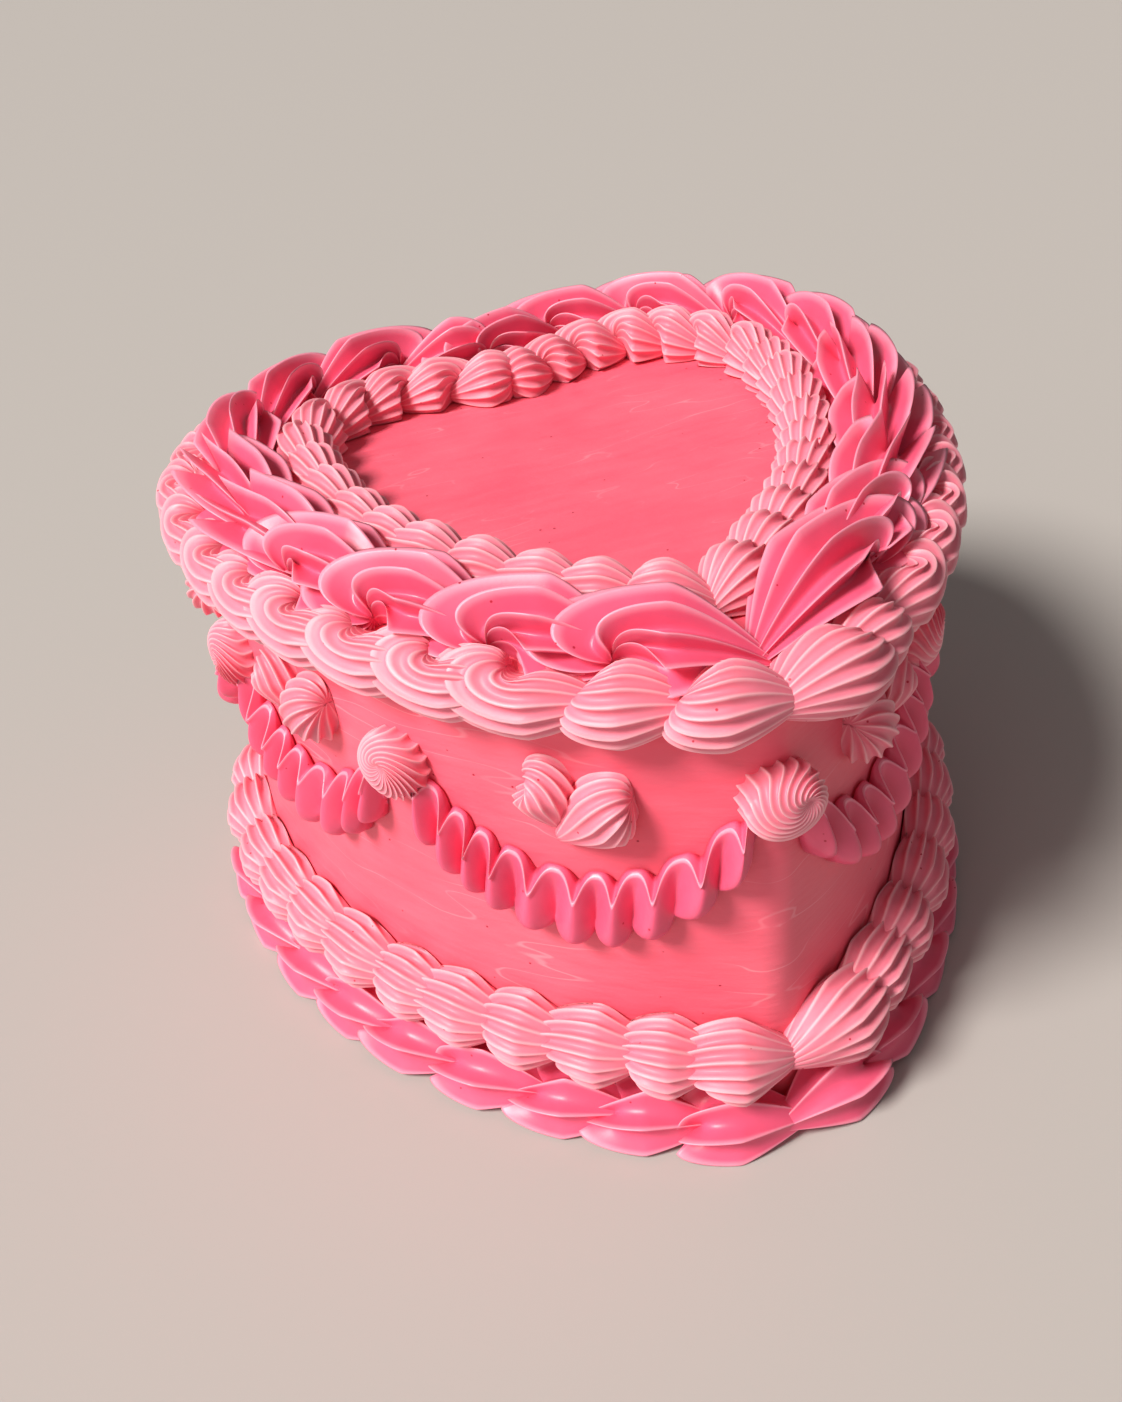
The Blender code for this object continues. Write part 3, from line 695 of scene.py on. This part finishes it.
# The ribbon: its rim and foot above and below the line, and the rim's place off the wall.
# A fold swings the rim out and down and the foot down, and is uneven by a little. The face
# has a lip at a share of the way down.
RIM_ABOVE = 0.0092
FOOT_BELOW = 0.0084
RIM_OUT = 0.0018
RIM_SWING = 0.0050
RIM_FALL = 0.0058
FOOT_FALL = 0.0026
FOLD_UNEVEN = 0.0007
LIP_PLACE = 0.86

# Small hearts: height above the swag's lowest place, a shell's half width, and for each shell
# its letter, its place along and up, how far it is turned up from the way (negative is
# down), its size and length, and its hook and loop. Angles are in degrees.
SMALL_HEART_RISE = 0.0312
SMALL_SHELL = 0.0074
SMALL_HEART_SHELLS = (
    ("a", -0.0060, 0.0022, -78, 1.10, 0.80, 125, 90),
    ("b", 0.0080, -0.0012, -140, 1.30, 1.0, 35, -90),
)


def on_wall(distance, out, height, side):
    """Places at a distance along the wall, proud of it by out, at a height."""
    flat = heart_point(out + lean(height), WALL_WAY.share(distance)) * [side, 1.0] + [0.0, MIDDLE]
    return np.concatenate([flat, height[..., None]], -1)


def square_on_wall(form, distance, height, side, turn):
    """A stiff form set square on the wall: x turned up from the way by an angle, y outwards."""
    point, forward, outward = WALL_WAY.frames(np.array(distance))
    along = form[..., 0] * math.cos(turn) - form[..., 2] * math.sin(turn)
    up = form[..., 0] * math.sin(turn) + form[..., 2] * math.cos(turn)
    flat = point + along[..., None] * forward + form[..., 1:2] * outward
    return np.concatenate([flat * [side, 1.0] + [0.0, MIDDLE], (up + height)[..., None]], -1)


def swag(number, ends, levels, lowest, side):
    """Ruffled ribbon hung between two rosettes.

    At each station along the hanging line a closed section runs from the wall out to a thin
    rim, down the face and back to the wall. The rim swings out and down and the face turns
    from hollow to bulging once per fold, all as powers of half one minus the cosine of the
    fold's phase, and the folds are wider in the swag's middle.
    """
    start, end = ends[0] + SWAG_GAP, ends[1] - SWAG_GAP
    folds = round((end - start) / FOLD)
    share = np.linspace(0.0, 1.0, folds * STATIONS + 1)[:, None]
    hang = (1.0 - (2.0 * share - 1.0) ** 2) ** 0.85
    lift = levels[0] + (levels[1] - levels[0]) * share - ROSETTE_HEIGHT
    line = SWAG_END + lift * (1.0 - hang) + (lowest - SWAG_END) * hang
    phase = 2 * math.pi * folds * (share + 0.03 * np.sin(2 * math.pi * share) + 0.25 * share * (1.0 - share))
    phase = phase + 0.6 * np.sin(1.7 * phase / (2 * math.pi) + number)
    notch = (1.0 - np.cos(phase)) / 2
    fade = np.clip(np.minimum(share, 1.0 - share) * (end - start) / FADE, 0.0, 1.0)
    uneven = FOLD_UNEVEN * np.sin(0.83 * phase + number)
    rim_out = RIM_OUT + (RIM_SWING + uneven) * notch ** 1.3 * (0.35 + 0.65 * fade)
    rim_up = line + RIM_ABOVE - (RIM_FALL + uneven) * notch ** 1.4
    foot_up = line - FOOT_BELOW - FOOT_FALL * notch ** 0.7 + uneven

    # The face: down goes from 0 at the rim to 1 at the foot, near which it rounds off to the
    # wall.
    down = np.linspace(0.0, 1.0, 15)[None, 1:]
    foot_lip = 0.0016 * np.exp(-((down - LIP_PLACE) / 0.09) ** 2)
    hollow = RIM_OUT - 0.0007 * np.sin(math.pi * np.minimum(down / 0.75, 1.0)) + foot_lip
    bulge = rim_out.max() - 0.0016 * (1 - down) ** 2 + 0.0006 * np.sin(math.pi * down) - 0.0018 * down ** 4
    round_off = np.sqrt(np.clip(1.0 - down ** 7, 0.0, 1.0))
    bent = notch ** (1.3 - 0.85 * down)
    face_out = (hollow * (1 - bent) + bulge * bent) * round_off * (0.45 + 0.55 * fade) + GAP
    face_up = rim_up - 0.0004 + (foot_up - rim_up) * down

    # The back: up the wall from behind the foot, then down a slope to the rim's thin edge.
    one = np.ones_like(share)
    back_up = rim_up + 0.0004 + 0.45 * (rim_out - 0.0014)
    slope = back_up - rim_up
    back_outs = [GAP * one, GAP * one, 0.35 * rim_out, 0.70 * rim_out, rim_out - 0.0005,
                 rim_out - 0.0001, rim_out]
    back_ups = [foot_up + 0.002, back_up, back_up - 0.30 * slope, back_up - 0.66 * slope,
                rim_up + 0.0001, rim_up, rim_up - 0.0003]
    out = np.concatenate(back_outs + [face_out], 1)
    up = np.concatenate(back_ups + [face_up], 1)

    # Each fold leans: its rim sways one way along the wall and its foot the other way.
    depth = np.concatenate([0.8 * one] + [0.0 * one] * 6 + [down * one], 1)
    pitch = (end - start) / folds
    sway = pitch * np.sin(phase) * (0.09 - 0.23 * depth ** 0.7) - 0.002 * share * depth
    rings = on_wall(start + (end - start) * share + sway, out, up, side)
    # Painted highlight: the rim's thin edge, and the foot lip where the face is hollow, are painted pale
    # through the ridge attribute.
    lip_highlight = 0.5 * np.exp(-((down - LIP_PLACE) / 0.05) ** 2) * (1 - bent)
    face_highlight = np.maximum(np.exp(-(down / 0.06)), lip_highlight)
    back_highlight = [pale * one for pale in (0.0, 0.0, 0.0, 0.1, 0.9, 1.0, 1.0)]
    crest = np.concatenate(back_highlight + [face_highlight], 1)
    first = on_wall(np.array([start]), np.array([0.001]), line[0], side)
    last = on_wall(np.array([end]), np.array([0.001]), line[-1], side)
    piece = closed_mesh(f"swag_ribbon_{number}", rings[None], first, last, HOT, ridge=crest[None])
    dress(piece, "hot_pink_buttercream", f"swag_{number}")


def rosette(number, distance, side, height, skirt, eye, swirl):
    """Dome of piped ridges that wind in to an eye off its centre.

    Levels climb the dome as cosine and sine of one angle, with a dimple at the eye; each
    level's circle moves towards the eye and its ridges turn on as the level shrinks. Three
    levels below the dome meet the curved wall.
    """
    angle, crest = ridge_section(16, 9)
    climb = np.linspace(0.0, math.pi / 2, 30)[1:-1]
    size = np.r_[0.90, 0.96, 0.99, np.cos(climb) ** 0.85]
    dimple = 0.0012 * np.exp(-(np.cos(climb) / 0.2) ** 2)
    rise = np.r_[-skirt, -0.0003, 0.0008, 0.0012 + 0.0080 * np.sin(climb) ** 0.85 - dimple]
    turn = swirl * np.r_[0.0, 0.0, 0.0, (1.0 - size[3:]) ** 0.75]
    ridge_height = ROSETTE_RIDGE * np.clip(size, 0.0, 1.0) ** 0.6
    spot = angle[None] + turn[:, None]
    inner = ROSETTE_RADIUS * size - ridge_height
    radius = inner[:, None] + ridge_height[:, None] * crest[None]
    x = radius * np.cos(spot) + eye[0] * (1 - size)[:, None]
    z = radius * np.sin(spot) + eye[1] * (1 - size)[:, None]
    y = rise[:, None] + 0.55 * ridge_height[:, None] * (crest[None] - 1) * (1 - size)[:, None]
    rings = square_on_wall(np.stack([x, y, z], -1)[None], distance, height, side, 0.0)
    start = square_on_wall(np.array([[0.0, -skirt, 0.0]]), distance, height, side, 0.0)
    end = square_on_wall(np.array([[eye[0], rise[-1] - 0.0004, eye[1]]]), distance, height, side, 0.0)
    piece = closed_mesh(f"rosette_swirl_{number}", rings, start, end, SOFT, ridge=crest[None, None])
    dress(piece, "soft_pink_buttercream", f"rosette_{number}")


def small_heart(number, distance, side, level):
    """Two little shells side by side, the first curled, the second fanned, tails together."""
    for letter, along, up, turn, size, length, hook, loop in SMALL_HEART_SHELLS:
        rings, start, end, crest = shell_forms(
            ridge_section(16), 30, front=0.80 * length, back=1.70 * length, hook=math.radians(hook),
            loop=math.radians(loop), depth=0.17, core_power=0.6, ridge_power=0.42, tail_power=1.3,
            twist=0.35, phase=0.3 * wobble(number, 7))
        placed = []
        for form in (rings, start, end):
            # The shell is pressed on, so its middle is off the wall and its back is flat.
            form = form * SMALL_SHELL * size + [0.0, 0.0010, 0.0]
            form[..., 1] = np.maximum(form[..., 1], -0.0006)
            placed.append(square_on_wall(form, distance + along, level + up, side, math.radians(turn)))
        piece = closed_mesh(f"small_heart_shell_{number}{letter}", *placed, SOFT, ridge=crest)
        dress(piece, "soft_pink_buttercream", f"small_heart_{number}{letter}")


def side_decoration():
    """Rosettes round the wall, swags between them and a small heart above each swag.

    Rosettes 1 to 5 go down the right half from the cleft to the point, 6 to 8 down the
    left, and the swags are numbered the same way.
    """
    places = {RIGHT: [share * WALL_WAY.length for share in RIGHT_ROSETTES],
              LEFT: [share * WALL_WAY.length for share in LEFT_ROSETTES]}
    spots = [(index, RIGHT) for index in range(5)] + [(index, LEFT) for index in range(1, 4)]
    for number, (index, side) in enumerate(spots, 1):
        eye_angle = 2.4 if index == 4 else 0.9 + 0.5 * wobble(number, 2)
        eye = (EYE_AWAY * math.cos(eye_angle), EYE_AWAY * math.sin(eye_angle))
        rosette(number, places[side][index], side, ROSETTE_HEIGHTS[index], ROSETTE_SKIRTS[index],
                eye, -side * SWIRL)
    stretches = [(index, side) for side in (RIGHT, LEFT) for index in range(4)]
    for number, (index, side) in enumerate(stretches, 1):
        ends, levels = places[side][index:index + 2], ROSETTE_HEIGHTS[index:index + 2]
        lowest = FRONT_SWAG_MIDDLE if number == 8 else SWAG_MIDDLE
        swag(number, ends, levels, lowest, side)
        small_heart(number, sum(ends) / 2, side, lowest + SMALL_HEART_RISE)


# Camera, light and floor

# The camera's place and angles were found from the cake's outline in the photograph.
CAMERA_PLACE = (-0.1123, -0.3115, 0.30856)
PITCH, ROLL, TURN = math.radians(36.211), math.radians(-6.551), math.radians(17.394)
FOCAL_PIXELS, PHOTO_WIDTH = 1399.5, 1122
SENSOR_WIDTH = 36.0
# Each light's name, the direction towards it as the photographer sees the cake (right, away
# and up), its strength and its spread in degrees.
LIGHTS = (
    ("key", (-0.64, -0.38, 0.85), 4.5, 18),
    ("side", (-0.80, -0.62, 0.28), 0.8, 60),
)
AIR_STRENGTH = 0.21
FLOOR_HALF = 4.0


def camera():
    """Camera at the photograph's place: pitched down, rolled a little, turned to the point's left."""
    ahead = np.array([0.0, math.cos(PITCH), -math.sin(PITCH)])
    right = np.array([1.0, 0.0, 0.0])
    down = np.array([0.0, -math.sin(PITCH), -math.cos(PITCH)])
    image_right = math.cos(ROLL) * right - math.sin(ROLL) * down
    image_down = math.sin(ROLL) * right + math.cos(ROLL) * down
    turn = np.array([[math.cos(TURN), math.sin(TURN), 0.0],
                     [-math.sin(TURN), math.cos(TURN), 0.0],
                     [0.0, 0.0, 1.0]])
    axes = turn @ np.stack([image_right, -image_down, -ahead], 1)
    data = bpy.data.cameras.new("photo_camera")
    data.sensor_fit = "HORIZONTAL"
    data.sensor_width = SENSOR_WIDTH
    data.lens = FOCAL_PIXELS / PHOTO_WIDTH * SENSOR_WIDTH
    data.clip_start = 0.01
    item = bpy.data.objects.new("photo_camera", data)
    matrix = Matrix([list(row) + [0.0] for row in axes] + [[0.0, 0.0, 0.0, 1.0]])
    matrix.translation = CAMERA_PLACE
    item.matrix_world = matrix
    bpy.context.scene.collection.objects.link(item)
    bpy.context.scene.camera = item


def seen_from_camera(x, y, z):
    """A direction given as the photographer sees the cake: x right, y away, z up."""
    return Vector((math.cos(TURN) * x + math.sin(TURN) * y, -math.sin(TURN) * x + math.cos(TURN) * y, z))


def studio():
    """Pale floor, a soft key from the left, a weak broad light beside it and weak air all round."""
    floor_finish = bpy.data.materials.new("pale_floor")
    floor_finish.use_nodes = True
    shader = floor_finish.node_tree.nodes["Principled BSDF"]
    shader.inputs["Base Color"].default_value = linear("#B3AEAA")
    shader.inputs["Roughness"].default_value = 0.60
    mesh = bpy.data.meshes.new("pale_floor")
    corners = [(FLOOR_HALF * x, FLOOR_HALF * y, 0.0) for x, y in ((-1, -1), (1, -1), (1, 1), (-1, 1))]
    mesh.from_pydata(corners, [], [(0, 1, 2, 3)])
    mesh.materials.append(floor_finish)
    floor = bpy.data.objects.new("pale_floor", mesh)
    bpy.context.scene.collection.objects.link(floor)

    for name, place, strength, spread in LIGHTS:
        light = bpy.data.lights.new(name, "SUN")
        light.energy = strength
        light.angle = math.radians(spread)
        light.color = linear("#FFFAF4")[:3]
        item = bpy.data.objects.new(name, light)
        item.rotation_euler = seen_from_camera(*place).to_track_quat("Z", "Y").to_euler()
        bpy.context.scene.collection.objects.link(item)

    world = bpy.data.worlds.new("studio_air")
    world.use_nodes = True
    world.node_tree.nodes["Background"].inputs["Color"].default_value = linear("#F0EAE8")
    world.node_tree.nodes["Background"].inputs["Strength"].default_value = AIR_STRENGTH
    bpy.context.scene.world = world
    # The photograph's lit pinks reach the display's full red, so the picture isn't toned down.
    bpy.context.scene.view_settings.view_transform = "Standard"


camera()
studio()
cake_body()
borders()
side_decoration()
